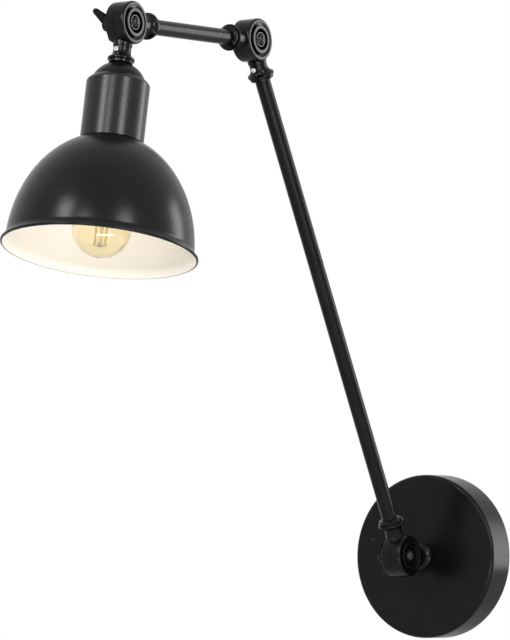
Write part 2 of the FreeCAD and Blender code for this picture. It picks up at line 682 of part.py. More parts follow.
def terminal_clamp_screws():
    top = terminal_top() + CLAMP_SCREW_SINK
    screw = slotted(rod(CLAMP_SCREW_RADIUS, top, top + CLAMP_SCREW_LENGTH), CLAMP_SCREW_RADIUS, top)
    screws = []
    for x, y in clamp_screw_places():
        one = screw.copy()
        one.translate(FreeCAD.Vector(x, y, 0))
        screws.append(one)
    return Part.makeCompound(screws)


def terminal_fixing_screw():
    top = terminal_top()
    head_end = top + TERMINAL_SCREW_HEAD_HEIGHT
    screw = rod(TERMINAL_SCREW_HEAD_RADIUS, top, head_end)
    screw = screw.fuse(rod(TERMINAL_SCREW_RADIUS, head_end, WALL - THREAD_GAP))
    screw = slotted(screw, TERMINAL_SCREW_HEAD_RADIUS, top)
    screw.translate(FreeCAD.Vector(terminal_screw_x(), TERMINAL_PLACE, 0))
    return screw


def earth_screw():
    seat = strap_face() - EARTH_WASHER_THICKNESS
    top = seat - EARTH_HEAD_HEIGHT
    screw = rod(EARTH_HEAD_RADIUS, top, seat).fuse(rod(EARTH_SCREW_RADIUS, seat, WALL - THREAD_GAP))
    screw = slotted(screw, EARTH_HEAD_RADIUS, top)
    screw.translate(FreeCAD.Vector(0, -TERMINAL_PLACE, 0))
    return screw


def earth_washer():
    end = strap_face()
    washer = pipe(EARTH_WASHER_RADIUS, EARTH_SCREW_RADIUS + THREAD_GAP, end - EARTH_WASHER_THICKNESS, end)
    washer.translate(FreeCAD.Vector(0, -TERMINAL_PLACE, 0))
    return washer


# ---------------------------------------------------------------- arms, up their axes from the lower pivot
def arm_tube(length):
    return pipe(TUBE_RADIUS, TUBE_RADIUS - TUBE_WALL, COLLAR_REACH, length - COLLAR_REACH)


def arm_nipple():
    return nipple(COLLAR_REACH + NIPPLE_IN_TUBE)


# ---------------------------------------------------------------- head, up its axis from the head pivot
def head_dome_cap():
    top = COLLAR_REACH
    bulge = CAP_BULGE
    outer_middle = ((CAP_TOP_RADIUS + CAP_RADIUS) / 2 + bulge, (top + CUP_TOP) / 2 - bulge)
    inner_middle = (outer_middle[0] - CAP_SHEET, outer_middle[1] + CAP_SHEET)
    return turned([(NIPPLE_HOLE_RADIUS, top),
                   (CAP_TOP_RADIUS, top),
                   (outer_middle, (CAP_RADIUS, CUP_TOP)),
                   (CAP_RADIUS - CAP_SHEET, CUP_TOP),
                   (inner_middle, (CAP_TOP_RADIUS, top + CAP_SHEET)),
                   (NIPPLE_HOLE_RADIUS, top + CAP_SHEET)])


def shade_height(radius, sheet=0.0):
    """Height of the shade's dome at a radius; sheet measures inwards from its outer face."""
    share = radius / (SHADE_RADIUS - sheet)
    return SHADE_CENTRE - (SHADE_HEIGHT - sheet) * math.sqrt(1 - share ** 2)


def shade_radius(height, sheet=0.0):
    share = (SHADE_CENTRE - height) / (SHADE_HEIGHT - sheet)
    return (SHADE_RADIUS - sheet) * math.sqrt(1 - share ** 2)


def shade_top():
    return shade_height(SHADE_TOP_RADIUS)


def cup_bottom():
    return shade_height(CUP_INNER_RADIUS) - FACE_GAP


def head_cup():
    inner_top = CUP_TOP + CUP_SHEET
    bend = CUP_RADIUS - CUP_SHOULDER
    bend_height = CUP_TOP + CUP_SHOULDER
    shoulder_middle = ((bend + CUP_RADIUS) / 2 + CUP_SHOULDER_BULGE,
                       (CUP_TOP + bend_height) / 2 - CUP_SHOULDER_BULGE)
    return turned([(NIPPLE_HOLE_RADIUS, CUP_TOP),
                   (bend, CUP_TOP),
                   (shoulder_middle, (CUP_RADIUS, bend_height)),
                   (CUP_RADIUS, cup_bottom()),
                   (CUP_INNER_RADIUS, cup_bottom()),
                   (CUP_INNER_RADIUS, bend_height),
                   (bend, inner_top),
                   (NIPPLE_HOLE_RADIUS, inner_top)])


def dome_curve(sheet, first_radius, last_height):
    """Smooth curve down the dome between a radius near its top and a height near its lip."""
    steps = 14
    first = math.asin(first_radius / (SHADE_RADIUS - sheet))
    last = math.acos((SHADE_CENTRE - last_height) / (SHADE_HEIGHT - sheet))
    points = []
    for k in range(steps + 1):
        angle = first + (last - first) * k / steps
        points.append(FreeCAD.Vector((SHADE_RADIUS - sheet) * math.sin(angle), 0,
                                     SHADE_CENTRE - (SHADE_HEIGHT - sheet) * math.cos(angle)))
    curve = Part.BSplineCurve()
    curve.interpolate(points)
    return curve.toShape(), points[0], points[-1]


def lamp_shade():
    flare = HEAD_LENGTH - SHADE_LIP_LENGTH
    bead_radius = SHADE_LIP_RADIUS - SHADE_BEAD_RADIUS
    bead_height = HEAD_LENGTH - SHADE_BEAD_RADIUS
    inner_top = shade_top() + SHADE_SHEET
    inner_radius = shade_radius(inner_top, SHADE_SHEET)
    outer, outer_first, outer_last = dome_curve(0.0, SHADE_TOP_RADIUS, flare)
    inner, inner_first, inner_last = dome_curve(SHADE_SHEET, inner_radius, flare)
    rise = bead_height - flare
    spread = bead_radius - outer_last.x
    outer_end = FreeCAD.Vector(bead_radius, 0, bead_height - SHADE_SHEET / 2)
    inner_end = FreeCAD.Vector(bead_radius - SHADE_SHEET / 2, 0, bead_height + SHADE_SHEET / 2)
    outer_middle = FreeCAD.Vector(outer_last.x + LIP_BEND_ACROSS * spread, 0, flare + LIP_BEND_OUTSIDE * rise)
    inner_middle = FreeCAD.Vector(inner_last.x + LIP_BEND_ACROSS * spread, 0, flare + LIP_BEND_INSIDE * rise)
    hole_top = FreeCAD.Vector(SHADE_HOLE_RADIUS, 0, shade_top())
    hole_bottom = FreeCAD.Vector(SHADE_HOLE_RADIUS, 0, inner_top)
    edges = [Part.LineSegment(hole_top, outer_first).toShape(), outer,
             Part.Arc(outer_last, outer_middle, outer_end).toShape(),
             Part.LineSegment(outer_end, inner_end).toShape(),
             Part.Arc(inner_end, inner_middle, inner_last).toShape(), inner,
             Part.LineSegment(inner_first, hole_bottom).toShape(),
             Part.LineSegment(hole_bottom, hole_top).toShape()]
    bead = Part.makeTorus(bead_radius, SHADE_BEAD_RADIUS, FreeCAD.Vector(0, 0, bead_height))
    return revolved(edges).fuse(bead)


def holder_top():
    return shade_top() - HOLDER_HEIGHT


def holder_entry_end():
    """Where the cap's threaded entry ends, and the nipple in it."""
    return holder_top() + HOLDER_ENTRY


def skirt_start():
    return shade_top() - HOLDER_FLANGE_THICKNESS - HOLDER_OVERLAP


def skirt_end():
    return shade_top() + HOLDER_SKIRT_LENGTH


def holder_cap():
    start = holder_top()
    end = shade_top() - HOLDER_FLANGE_THICKNESS - 2 * FACE_GAP
    spigot = spigot_radius() + THREAD_GAP
    shoulder = start + HOLDER_SHOULDER
    bulge = ((HOLDER_BOSS_RADIUS + HOLDER_CAP_RADIUS) / 2 + HOLDER_BULGE,
             (start + shoulder) / 2 - HOLDER_BULGE)
    inner_bulge = (bulge[0] - HOLDER_WALL, bulge[1] + HOLDER_WALL)
    return turned([(NIPPLE_HOLE_RADIUS, start),
                   (HOLDER_BOSS_RADIUS, start),
                   (bulge, (HOLDER_CAP_RADIUS, shoulder)),
                   (HOLDER_CAP_RADIUS, end),
                   (spigot, end),
                   (spigot, shoulder + HOLDER_WALL),
                   (inner_bulge, (HOLDER_BOSS_RADIUS, start + HOLDER_WALL)),
                   (HOLDER_BOSS_RADIUS - HOLDER_WALL, start + HOLDER_WALL),
                   (HOLDER_BOSS_RADIUS - HOLDER_WALL, holder_entry_end()),
                   (NIPPLE_HOLE_RADIUS, holder_entry_end())])


def spigot_radius():
    return HOLDER_CAP_RADIUS - HOLDER_WALL


def holder_skirt():
    flange = shade_top() - FACE_GAP
    ledge = contact_block_end() - CONTACT_BLOCK_THICKNESS
    ledge_radius = HOLDER_BORE_RADIUS - HOLDER_LEDGE
    return turned([(ledge_radius, skirt_start()),
                   (spigot_radius(), skirt_start()),
                   (spigot_radius(), flange - HOLDER_FLANGE_THICKNESS),
                   (HOLDER_FLANGE_RADIUS, flange - HOLDER_FLANGE_THICKNESS),
                   (HOLDER_FLANGE_RADIUS, flange),
                   (HOLDER_SKIRT_RADIUS, flange),
                   (HOLDER_SKIRT_RADIUS, skirt_end() - HOLDER_SKIRT_EDGE),
                   (HOLDER_SKIRT_RADIUS - HOLDER_SKIRT_EDGE, skirt_end()),
                   (HOLDER_BORE_RADIUS, skirt_end()),
                   (HOLDER_BORE_RADIUS, ledge),
                   (ledge_radius, ledge)])


def shade_ring():
    start = shade_top() + SHADE_SHEET + FACE_GAP
    end = start + SHADE_RING_THICKNESS
    edge = SHADE_RING_EDGE
    flat_radius = shade_radius(shade_top() + SHADE_SHEET, SHADE_SHEET) - edge / 2
    outer_height = shade_height(SHADE_RING_RADIUS, SHADE_SHEET) + edge / 2
    ring = turned([(SHADE_HOLE_RADIUS, start), (flat_radius, start), (SHADE_RING_RADIUS, outer_height),
                   (SHADE_RING_RADIUS, end - edge), (SHADE_RING_RADIUS - edge, end),
                   (SHADE_HOLE_RADIUS, end)])
    for k in range(SHADE_RING_NOTCHES):
        notch = rod(SHADE_RING_NOTCH_RADIUS, start, end)
        notch.translate(FreeCAD.Vector(SHADE_RING_RADIUS + SHADE_RING_NOTCH_OUT, 0, 0))
        notch.rotate(ORIGIN, Z_AXIS, 360 * (k + 0.5) / SHADE_RING_NOTCHES)
        ring = ring.cut(notch)
    return ring


def contact_block_end():
    return BULB_START - CENTRE_CONTACT_HEIGHT - FACE_GAP


def contact_block():
    end = contact_block_end()
    body = rod(HOLDER_BORE_RADIUS - THREAD_GAP, end - CONTACT_BLOCK_THICKNESS + FACE_GAP, end)
    wire_holes = None
    for side in (-1, 1):
        hole = rod(WIRE_HOLE_RADIUS, end - CONTACT_BLOCK_THICKNESS, end)
        hole.translate(FreeCAD.Vector(0, side * (CENTRE_CONTACT_RADIUS + HOLDER_BORE_RADIUS) / 2, 0))
        wire_holes = hole if wire_holes is None else wire_holes.fuse(hole)
    return body.cut(wire_holes)


def centre_contact():
    start = contact_block_end()
    end = BULB_START - FACE_GAP
    radius = CENTRE_CONTACT_RADIUS
    return turned([(0, start), (radius, start), (radius, start + CENTRE_CONTACT_FOOT),
                   (radius / 2, start + 2 * CENTRE_CONTACT_FOOT), (radius / 2, end - CENTRE_CONTACT_EDGE),
                   (radius / 2 - CENTRE_CONTACT_EDGE, end), (0, end)])


def holder_shell():
    """Threaded contact shell round the bulb's cap, standing on the contact block."""
    start = contact_block_end() + FACE_GAP
    first = BULB_CAP_START
    last = first + SHELL_LENGTH
    inner = thread_path(BULB_CAP_RADIUS + SHELL_GAP, BULB_THREAD_DEPTH, first, last, BULB_THREAD_PITCH)
    outer = [(radius + SHELL_SHEET, height) for radius, height in inner]
    foot = inner[0][0]
    return turned([(foot, start), *inner, *reversed(outer), (foot + SHELL_SHEET, start)])


def bulb_cap():
    path = thread_path(BULB_CAP_RADIUS, BULB_THREAD_DEPTH, BULB_CAP_START, BULB_CAP_END, BULB_THREAD_PITCH)
    inner = [(radius - BULB_CAP_SHEET, height) for radius, height in path]
    return turned([*path, *reversed(inner)])


def bulb_insulator():
    rim = BULB_CAP_RADIUS - BULB_THREAD_DEPTH - BULB_CAP_SHEET
    end = BULB_CAP_START + BULB_INSULATOR_IN_CAP
    return turned([(0, INSULATOR_START), (BULB_CONTACT_RADIUS, INSULATOR_START),
                   (BULB_INSULATOR_RADIUS, BULB_CAP_START - BULB_INSULATOR_RIM), (rim, BULB_CAP_START),
                   (rim, end), (0, end)])


def bulb_contact():
    return turned([(0, BULB_START), (BULB_CONTACT_RADIUS - BULB_CONTACT_SLOPE, BULB_START),
                   (BULB_CONTACT_RADIUS, INSULATOR_START), (0, INSULATOR_START)])


def glass_path(inset):
    """Open outline of the bulb's glass from the neck to the tip; inset measures inwards."""
    radius = BULB_RADIUS - inset
    neck = BULB_NECK_RADIUS - inset
    join_height = BULB_CENTRE - BULB_BALL_START * BULB_RADIUS
    join_radius = math.sqrt(radius ** 2 - (BULB_CENTRE - join_height) ** 2)
    blend = (neck + BULB_NECK_CURVE * (join_radius - neck), (join_height + BULB_CAP_END) / 2)
    return [(neck, BULB_CAP_END - BULB_NECK_IN_CAP),
            (neck, BULB_CAP_END),
            (blend, (join_radius, join_height)),
            ((radius, BULB_CENTRE), (0, BULB_CENTRE + radius))]


def bulb_glass():
    outer = glass_path(0.0)
    inner_start, inner_neck, inner_blend, inner_ball = glass_path(BULB_GLASS)
    tip = (0, BULB_CENTRE + BULB_RADIUS - BULB_GLASS)
    ball_middle = inner_ball[0]
    join = inner_blend[1]
    return turned([*outer, tip, (ball_middle, join), (inner_blend[0], inner_neck), inner_start])


def filament_start():
    return BULB_CENTRE - FILAMENT_LENGTH / 2


def bulb_stem():
    """Glass stem with the two discs that hold the filaments."""
    foot = BULB_CAP_END
    foot_radius = BULB_NECK_RADIUS - BULB_GLASS - FACE_GAP
    start = filament_start()
    end = start + FILAMENT_LENGTH
    disc = STEM_DISC_THICKNESS
    return turned([(0, foot), (foot_radius, foot), (foot_radius, foot + disc),
                   (STEM_FOOT_RADIUS, foot + 2 * disc),
                   (STEM_RADIUS, foot + STEM_TAPER_LENGTH), (STEM_RADIUS, start - disc),
                   (STEM_DISC_RADIUS, start - disc), (STEM_DISC_RADIUS, start - FACE_GAP),
                   (STEM_RADIUS, start - FACE_GAP), (STEM_RADIUS, end + FACE_GAP),
                   (STEM_DISC_RADIUS, end + FACE_GAP), (STEM_DISC_RADIUS, end + disc), (0, end + disc)])


def bulb_filaments():
    rods = []
    for k in range(FILAMENT_COUNT):
        one = rod(FILAMENT_RADIUS, filament_start(), filament_start() + FILAMENT_LENGTH)
        one.translate(FreeCAD.Vector(FILAMENT_CIRCLE_RADIUS, 0, 0))
        one.rotate(ORIGIN, Z_AXIS, 360 * (k + 0.5) / FILAMENT_COUNT)
        rods.append(one)
    return Part.makeCompound(rods)


# ---------------------------------------------------------------- assembly
def wall_nodes():
    shapes = {
        "wall_canopy": wall_canopy(),
        "mounting_bracket": mounting_bracket(),
        "canopy_side_screws": side_screws(),
        "canopy_nipple": nipple(canopy_nipple_end()),
        "canopy_washer": lock_washer(),
        "canopy_lock_nut": lock_nut(),
        "terminal_block": terminal_block(),
        "terminal_clamp_screws": terminal_clamp_screws(),
        "terminal_fixing_screw": terminal_fixing_screw(),
        "earth_screw": earth_screw(),
        "earth_washer": earth_washer(),
        "wall_knuckle_half": knuckle_half(1, -1),
        "wall_grub_screw": grub_screw(-1),
    }
    return {name: placed(shape, WALL_PIVOT, WALL_END_ANGLE) for name, shape in shapes.items()}


def pivot_nodes(name, pivot, wing_angle):
    """Bolt, washers and wing nut of one knuckle."""
    shapes = {
        name + "_pivot_bolt": pivot_bolt(),
        name + "_friction_washer": friction_washer(),
        name + "_spring_washer": spring_washer(),
        name + "_wing_nut": wing_nut(wing_angle),
    }
    return {node: placed(shape, pivot, 0) for node, shape in shapes.items()}


def arm_nodes(name, length, lean, lower_pivot, upper_pivot, half_sides, grub_sides):
    """One arm with its castings. Both kinds of side are given for the lower end first."""
    lower_side, upper_side = half_sides
    lower_grub, upper_grub = grub_sides
    lower = {
        name + "_tube": arm_tube(length),
        name + "_lower_half": knuckle_half(lower_side, lower_grub),
        name + "_lower_nipple": arm_nipple(),
        name + "_lower_grub_screw": grub_screw(lower_grub),
    }
    upper = {
        name + "_upper_half": knuckle_half(upper_side, upper_grub),
        name + "_upper_nipple": arm_nipple(),
        name + "_upper_grub_screw": grub_screw(upper_grub),
    }
    nodes = {node: placed(shape, lower_pivot, lean) for node, shape in lower.items()}
    nodes.update({node: placed(shape, upper_pivot, lean + 180) for node, shape in upper.items()})
    return nodes


def head_nodes():
    shapes = {
        "head_knuckle_half": knuckle_half(-1, 1),
        "head_grub_screw": grub_screw(1),
        "head_nipple": nipple(holder_entry_end()),
        "head_dome_cap": head_dome_cap(),
        "head_cup": head_cup(),
        "lamp_shade": lamp_shade(),
        "shade_ring": shade_ring(),
        "holder_cap": holder_cap(),
        "holder_skirt": holder_skirt(),
        "holder_contact_block": contact_block(),
        "holder_centre_contact": centre_contact(),
        "holder_screw_shell": holder_shell(),
        "bulb_cap": bulb_cap(),
        "bulb_insulator": bulb_insulator(),
        "bulb_contact": bulb_contact(),
        "bulb_glass": bulb_glass(),
        "bulb_stem": bulb_stem(),
        "bulb_filaments": bulb_filaments(),
    }
    return {name: placed(shape, HEAD_PIVOT, HEAD_ANGLE) for name, shape in shapes.items()}


def all_nodes():
    nodes = wall_nodes()
    nodes.update(pivot_nodes("wall", WALL_PIVOT, WALL_WING_ANGLE))
    nodes.update(arm_nodes("long_arm", LONG_ARM_LENGTH, LONG_ARM_ANGLE, WALL_PIVOT, ELBOW_PIVOT,
                           (-1, -1), (1, 1)))
    nodes.update(pivot_nodes("elbow", ELBOW_PIVOT, ELBOW_WING_ANGLE))
    nodes.update(arm_nodes("short_arm", SHORT_ARM_LENGTH, SHORT_ARM_ANGLE, ELBOW_PIVOT, HEAD_PIVOT,
                           (1, 1), (1, -1)))
    nodes.update(pivot_nodes("head", HEAD_PIVOT, HEAD_WING_ANGLE))
    nodes.update(head_nodes())
    return nodes


os.makedirs("parts", exist_ok=True)
for node, shape in all_nodes().items():
    shape.exportStep("parts/" + node + ".step")
    print(node, len(shape.Solids), shape.isValid(), round(shape.Volume, 1))
print("elbow pivot", [round(value, 3) for value in ELBOW_PIVOT])
print("head pivot", [round(value, 3) for value in HEAD_PIVOT])
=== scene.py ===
import json
import math

import bmesh
import bpy
from mathutils import Matrix, Vector


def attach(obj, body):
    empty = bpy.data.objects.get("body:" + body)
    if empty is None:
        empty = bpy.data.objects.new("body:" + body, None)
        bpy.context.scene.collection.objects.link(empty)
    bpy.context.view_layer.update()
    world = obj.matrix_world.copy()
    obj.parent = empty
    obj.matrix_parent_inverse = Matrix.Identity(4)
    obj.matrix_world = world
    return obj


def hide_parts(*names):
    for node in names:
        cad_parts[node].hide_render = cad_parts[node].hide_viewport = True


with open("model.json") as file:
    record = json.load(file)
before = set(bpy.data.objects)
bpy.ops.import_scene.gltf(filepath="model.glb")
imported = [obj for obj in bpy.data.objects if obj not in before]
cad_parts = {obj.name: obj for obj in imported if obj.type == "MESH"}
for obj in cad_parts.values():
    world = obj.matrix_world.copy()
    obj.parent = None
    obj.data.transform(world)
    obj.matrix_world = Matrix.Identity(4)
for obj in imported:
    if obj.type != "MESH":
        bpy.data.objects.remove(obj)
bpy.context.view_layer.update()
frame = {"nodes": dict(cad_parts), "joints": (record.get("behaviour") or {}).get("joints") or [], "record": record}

# Looks of the articulating wall lamp. Metres, in the part's own frame: the wall is the plane Y = 0,
# the lamp reaches out towards -Y, X runs along the wall and Z is up.

MM = 0.001

# The head leans this far from straight up, away from the wall, like the part's own.
HEAD_ANGLE = math.radians(166.5)

# Shade, as distances along the head's axis from its pivot and radii from that axis
SHADE_CENTRE = 177.6 * MM
SHADE_RADIUS = 71.3 * MM
SHADE_HEIGHT = 89.0 * MM
SHADE_SHEET = 1.0 * MM
SHADE_HOLE_RADIUS = 20.0 * MM
SHADE_TOP_RADIUS = 22.6 * MM
SHADE_FLARE_START = 172.0 * MM
SHADE_BEAD_RADIUS = 1.2 * MM
SHADE_BEAD_CENTRE = (73.7 * MM, 178.8 * MM)
SHADE_BEAD_ANGLES = (-100, 112)      # from the black lip round the outside to the white inside
LIP_FLARE = 2.2                      # power by which the lip turns outwards
SHADE_SEGMENTS = 160
DOME_STEPS = 44
LIP_STEPS = 8
BEAD_STEPS = 16

# Thin wires between the bulb's stem and its filaments, along the same axis
FILAMENT_COUNT = 4
FILAMENT_CENTRE = 161.5 * MM
FILAMENT_HALF_LENGTH = 12.5 * MM
WIRE_RADIUS = 0.22 * MM
WIRE_LENGTH = 4.6 * MM
WIRE_RISE = 2.4 * MM
WIRE_OFFSET = 2.0 * MM
WIRE_LEAN = 60
WIRE_SEGMENTS = 8

SMOOTH_ANGLE = math.radians(35)      # edges sharper than this stay sharp
WELD_DISTANCE = 1e-6

# Finishes: noise detail, the part of the noise that spans a range, and how much the grains vary the gloss
BLOTCH_DETAIL = 3.0
GRAIN_DETAIL = 2.0
NOISE_RANGE = (0.35, 0.65)
GRAIN_GLOSS = 0.03
GLASS_IOR = 1.45

# Camera, fitted to the photograph
CAMERA_AZIMUTH = math.radians(34.588)
CAMERA_ELEVATION = math.radians(-3.342)
CAMERA_ROLL = math.radians(-1.655)
CAMERA_LENS = 405.0
CAMERA_DISTANCE = 5.603
CAMERA_AIM = Vector((0.0, -0.2, 0.2))
CAMERA_SLIDE_RIGHT = -0.02926
CAMERA_SLIDE_UP = -0.01681

# Light and floor
LIGHT_AIM = Vector((0.0, -0.4, 0.25))
LAMP_DISTANCE = 2.4
LOW_LAMP_DISTANCE = 1.2
AMBIENT_LEVEL = 0.3
FLOOR_HEIGHT = -0.6
FLOOR_RADIUS = 9.0
FLOOR_SEGMENTS = 96
FLOOR_FADE = (1.2, 4.0)              # distances over which the floor turns into the white background
FLOOR_GREY = 0.9


# ---------------------------------------------------------------- material helpers
def plain(name, **constants):
    """A material whose shader has these constants. Socket names are written with _ for a space."""
    made = bpy.data.materials.new(name)
    made.use_nodes = True
    shader = made.node_tree.nodes["Principled BSDF"]
    for socket, value in constants.items():
        shader.inputs[socket.replace("_", " ")].default_value = value
    return made


def noise(made, size, detail, stretch):
    """Noise on object coordinates, with grains this wide in metres, narrower where stretched above 1."""
    nodes, links = made.node_tree.nodes, made.node_tree.links
    place = nodes.new("ShaderNodeTexCoord")
    mapping = nodes.new("ShaderNodeMapping")
    mapping.inputs["Scale"].default_value = stretch
    grain = nodes.new("ShaderNodeTexNoise")
    grain.inputs["Scale"].default_value = 1.0 / size
    grain.inputs["Detail"].default_value = detail
    links.new(place.outputs["Object"], mapping.inputs["Vector"])
    links.new(mapping.outputs["Vector"], grain.inputs["Vector"])
    return grain.outputs["Fac"]


def ranged(made, value, low, high, span=NOISE_RANGE):
    """Map a value's span to the range from low to high, held at its ends."""
    node = made.node_tree.nodes.new("ShaderNodeMapRange")
    node.inputs["From Min"].default_value, node.inputs["From Max"].default_value = span
    node.inputs["To Min"].default_value = low
    node.inputs["To Max"].default_value = high
    made.node_tree.links.new(value, node.inputs["Value"])
    return node.outputs["Result"]


def mixed(made, share, first, second):
    """Colour between two, by a share from 0 to 1."""
    node = made.node_tree.nodes.new("ShaderNodeMix")
    node.data_type = "RGBA"
    node.inputs["A"].default_value = (*first, 1.0)
    node.inputs["B"].default_value = (*second, 1.0)
    made.node_tree.links.new(share, node.inputs["Factor"])
    return node.outputs["Result"]


def bumped(made, height, distance):
    """Relief from a height of 0 to 1 and the distance in metres that it stands for."""
    node = made.node_tree.nodes.new("ShaderNodeBump")
    node.inputs["Strength"].default_value = 1.0
    node.inputs["Distance"].default_value = distance
    made.node_tree.links.new(height, node.inputs["Height"])
    shader = made.node_tree.nodes["Principled BSDF"]
    made.node_tree.links.new(node.outputs["Normal"], shader.inputs["Normal"])


def surfaced(made, colours, roughness, blotch, grain, relief, stretch=(1.0, 1.0, 1.0)):
    """Give a material its colour and gloss in soft blotches, and a relief in fine grains.

    Blotch and grain are widths and relief is a height, all in metres.
    """
    shader = made.node_tree.nodes["Principled BSDF"]
    cloud = noise(made, blotch, BLOTCH_DETAIL, stretch)
    share = ranged(made, cloud, 0.0, 1.0)
    made.node_tree.links.new(mixed(made, share, *colours), shader.inputs["Base Color"])
    fine = noise(made, grain, GRAIN_DETAIL, stretch)
    gloss = made.node_tree.nodes.new("ShaderNodeMath")
    gloss.operation = "ADD"
    made.node_tree.links.new(ranged(made, cloud, *roughness), gloss.inputs[0])
    made.node_tree.links.new(ranged(made, fine, -GRAIN_GLOSS, GRAIN_GLOSS), gloss.inputs[1])
    made.node_tree.links.new(gloss.outputs["Value"], shader.inputs["Roughness"])
    bumped(made, fine, relief)
    return made


# ---------------------------------------------------------------- finishes
def black_powder_coat():
    """Satin black powder coat with its fine orange peel: canopy, tubes and domed cap."""
    made = plain("black_powder_coat", Specular_IOR_Level=0.13)
    return surfaced(made, colours=((0.0025, 0.0025, 0.003), (0.004, 0.004, 0.0045)), roughness=(0.24, 0.29),
                    blotch=0.03, grain=0.0007, relief=4e-6)


def cup_coat():
    """The cup's coat, a little greyer and glossier."""
    made = plain("black_cup", Specular_IOR_Level=0.25)
    return surfaced(made, colours=((0.0035, 0.0035, 0.004), (0.005, 0.005, 0.0055)), roughness=(0.27, 0.30),
                    blotch=0.02, grain=0.0007, relief=1e-6)


def casting_paint():
    """Satin black over the faint grain of die-cast metal."""
    made = plain("black_casting", Specular_IOR_Level=0.16)
    return surfaced(made, colours=((0.0015, 0.0015, 0.002), (0.003, 0.003, 0.0035)), roughness=(0.19, 0.22),
                    blotch=0.012, grain=0.0008, relief=0.8e-6)


def bolt_black():
    """Glossy blackened steel."""
    made = plain("blackened_steel", Specular_IOR_Level=0.3)
    return surfaced(made, colours=((0.004, 0.004, 0.005), (0.008, 0.008, 0.009)), roughness=(0.14, 0.20),
                    blotch=0.004, grain=0.0004, relief=2e-6)


def shade_outside():
    """Black enamel of the shade's outside."""
    made = plain("shade_black_enamel", Specular_IOR_Level=0.17)
    return surfaced(made, colours=((0.002, 0.002, 0.0025), (0.003, 0.003, 0.0035)), roughness=(0.25, 0.28),
                    blotch=0.035, grain=0.0007, relief=3e-6)


def shade_inside():
    """White enamel of the shade's inside, tinted cream with painted warm light from the amber bulb."""
    made = plain("shade_white_enamel_painted_warm_light", Specular_IOR_Level=0.5)
    # Cream colours: white enamel plus a painted warm glow from the bulb
    return surfaced(made, colours=((0.97, 0.905, 0.795), (0.975, 0.92, 0.82)), roughness=(0.30, 0.40),
                    blotch=0.04, grain=0.0009, relief=10e-6)


def chrome():
    made = plain("chrome_screw", Metallic=1.0)
    return surfaced(made, colours=((0.72, 0.72, 0.74), (0.80, 0.80, 0.82)), roughness=(0.12, 0.20),
                    blotch=0.003, grain=0.0003, relief=4e-6)


def brass():
    made = plain("brass", Metallic=1.0)
    return surfaced(made, colours=((0.70, 0.50, 0.20), (0.80, 0.62, 0.30)), roughness=(0.26, 0.36),
                    blotch=0.006, grain=0.0004, relief=6e-6)


def fibre():
    made = plain("fibre_washer", Specular_IOR_Level=0.2)
    return surfaced(made, colours=((0.030, 0.026, 0.022), (0.055, 0.048, 0.040)), roughness=(0.80, 0.92),
                    blotch=0.002, grain=0.0003, relief=30e-6)


def zinc():
    """Zinc plate, drawn out along one direction."""
    made = plain("zinc_steel", Metallic=1.0)
    return surfaced(made, colours=((0.36, 0.365, 0.38), (0.44, 0.445, 0.45)), roughness=(0.50, 0.62),
                    blotch=0.006, grain=0.0005, relief=8e-6, stretch=(1.0, 4.0, 1.0))


def phenolic():
    made = plain("black_phenolic", Specular_IOR_Level=0.5)
    return surfaced(made, colours=((0.014, 0.013, 0.012), (0.022, 0.020, 0.018)), roughness=(0.28, 0.38),
                    blotch=0.01, grain=0.0006, relief=8e-6)


def ceramic():
    made = plain("white_ceramic", Specular_IOR_Level=0.5)
    return surfaced(made, colours=((0.78, 0.77, 0.73), (0.84, 0.83, 0.80)), roughness=(0.20, 0.34),
                    blotch=0.006, grain=0.0006, relief=10e-6)


def nylon():
    made = plain("white_nylon", Specular_IOR_Level=0.4)
    return surfaced(made, colours=((0.74, 0.74, 0.71), (0.80, 0.80, 0.78)), roughness=(0.50, 0.60),
                    blotch=0.008, grain=0.0005, relief=10e-6)


def amber_glass():
    made = plain("amber_glass", Transmission_Weight=1.0, IOR=GLASS_IOR)
    return surfaced(made, colours=((0.99, 0.94, 0.785), (0.985, 0.93, 0.765)), roughness=(0.0, 0.02),
                    blotch=0.02, grain=0.004, relief=10e-6)


def clear_glass():
    made = plain("stem_glass", Transmission_Weight=1.0, IOR=GLASS_IOR)
    return surfaced(made, colours=((0.96, 0.97, 0.95), (0.92, 0.94, 0.91)), roughness=(0.03, 0.08),
                    blotch=0.004, grain=0.001, relief=20e-6)


def filament():
    made = plain("filament_yellow", Specular_IOR_Level=0.3)
    return surfaced(made, colours=((0.93, 0.78, 0.30), (0.96, 0.86, 0.44)), roughness=(0.55, 0.70),
                    blotch=0.0015, grain=0.0004, relief=40e-6)


def cap_metal():
    made = plain("bulb_cap_metal", Metallic=1.0)
    return surfaced(made, colours=((0.60, 0.60, 0.60), (0.70, 0.70, 0.70)), roughness=(0.24, 0.34),
                    blotch=0.006, grain=0.0004, relief=6e-6)


def black_glass():
    made = plain("black_glass", Specular_IOR_Level=0.5)
    return surfaced(made, colours=((0.010, 0.010, 0.014), (0.016, 0.016, 0.020)), roughness=(0.08, 0.16),
                    blotch=0.004, grain=0.0008, relief=10e-6)


def finishes():
    """One material for each of the record's slots."""
    makers = {
        "amber_glass": amber_glass,
        "black_casting": casting_paint,
        "black_cup": cup_coat,
        "black_glass": black_glass,
        "black_phenolic": phenolic,
        "black_powder_coat": black_powder_coat,
        "blackened_steel": bolt_black,
        "brass": brass,
        "bulb_cap_metal": cap_metal,
        "chrome_screw": chrome,
        "fibre_washer": fibre,
        "filament_yellow": filament,
        "shade_enamel": shade_outside,
        "stem_glass": clear_glass,
        "white_ceramic": ceramic,
        "white_nylon": nylon,
        "zinc_steel": zinc,
    }
    return {slot: make() for slot, make in makers.items()}


def dress_nodes(materials):
    """Give every carried-over node the finish that its slot names."""
    for part in frame["record"]["subparts"]:
        node = frame["nodes"][part["node"]]
        node.data.materials.clear()
        node.data.materials.append(materials[part["material_slot"]])


# ---------------------------------------------------------------- mesh helpers
def pivot(joint):
    """Where this joint turns, in metres."""
    return Vector(next(j for j in frame["joints"] if j["name"] == joint)["pos_m"])


